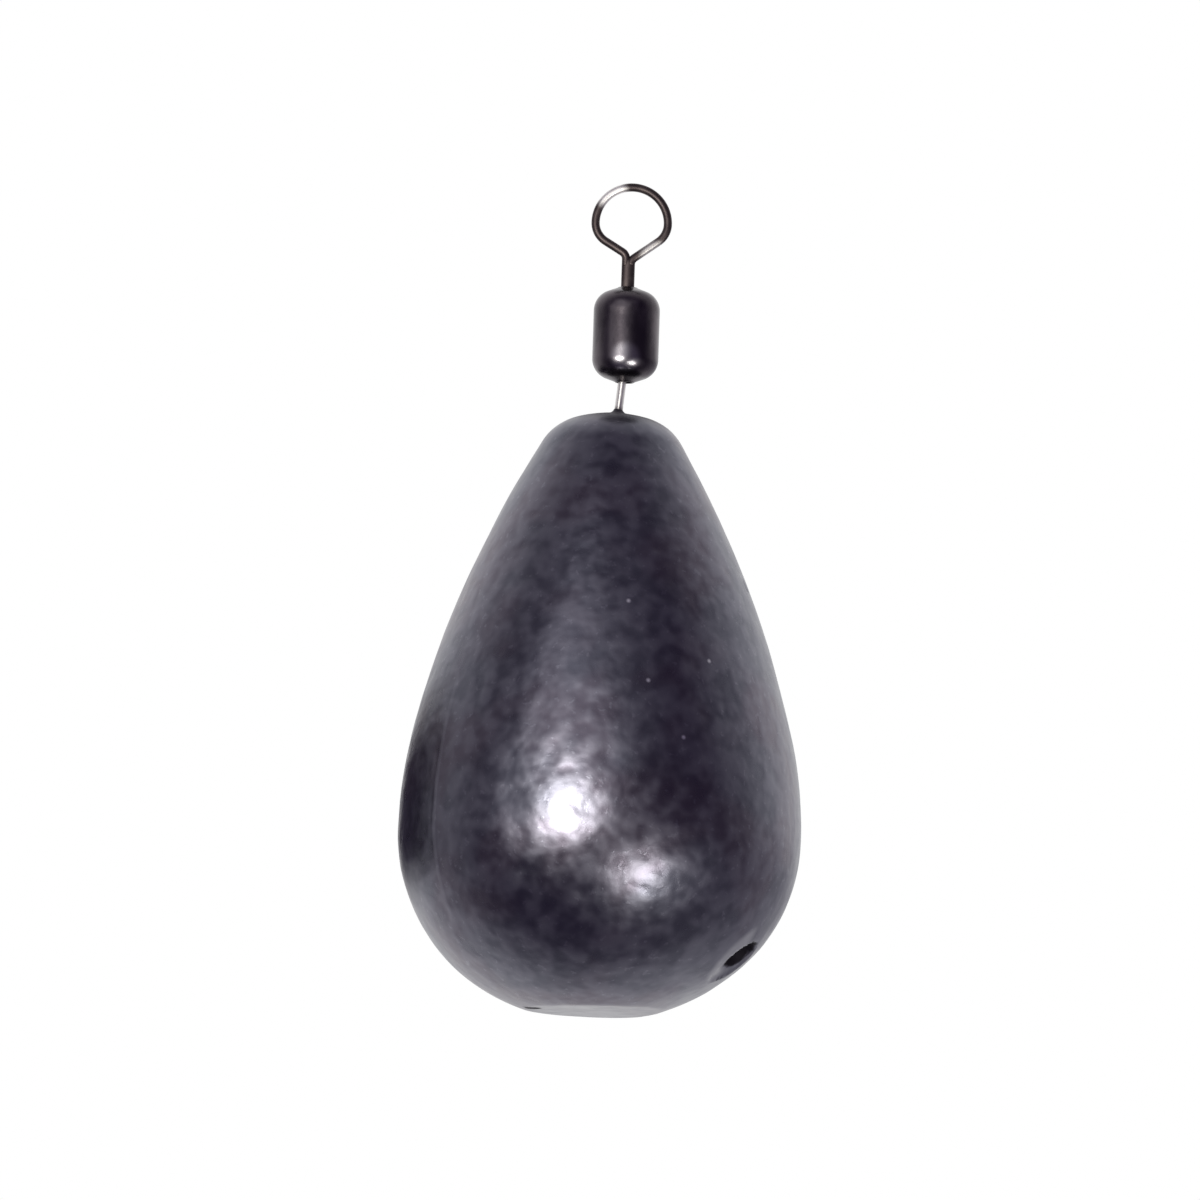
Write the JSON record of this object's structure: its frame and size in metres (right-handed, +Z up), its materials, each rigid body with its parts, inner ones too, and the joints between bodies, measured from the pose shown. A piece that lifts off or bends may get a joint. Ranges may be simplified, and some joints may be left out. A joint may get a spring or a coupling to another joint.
{
  "type": "fishing sinker",
  "caption": "Pear-shaped cast lead fishing sinker with a rolling swivel cast into its nose, whose upper eye takes the line.",
  "frame": {"origin": "centre of the flat cut base, on the axis of the lead pear", "axes": "+Z up the axis of the pear to the swivel and line eye; the line eye's ring lies in the XZ plane at rest"},
  "size_m": [0.0194, 0.0194, 0.0403],
  "materials": {
    "cast_lead": "as-cast lead, dark and glossy with a mottled surface",
    "swivel_wire": "black nickel plated wire",
    "swivel_barrel": "black nickel plated brass"
  },
  "bodies": {
    "lead": {"sinker_body": "cast_lead", "anchor_eye": "swivel_wire"},
    "barrel": {"swivel_barrel": "swivel_barrel"},
    "eye": {"line_eye": "swivel_wire"}
  },
  "joints": [
    {"name": "barrel_spin", "type": "hinge", "parent": "lead", "child": "barrel", "pos_m": [0.0005, 0, 0.0318], "axis": [0, 0, 1], "continuous": true},
    {"name": "eye_spin", "type": "hinge", "parent": "barrel", "child": "eye", "pos_m": [0.0005, 0, 0.034], "axis": [0, 0, 1], "continuous": true}
  ]
}
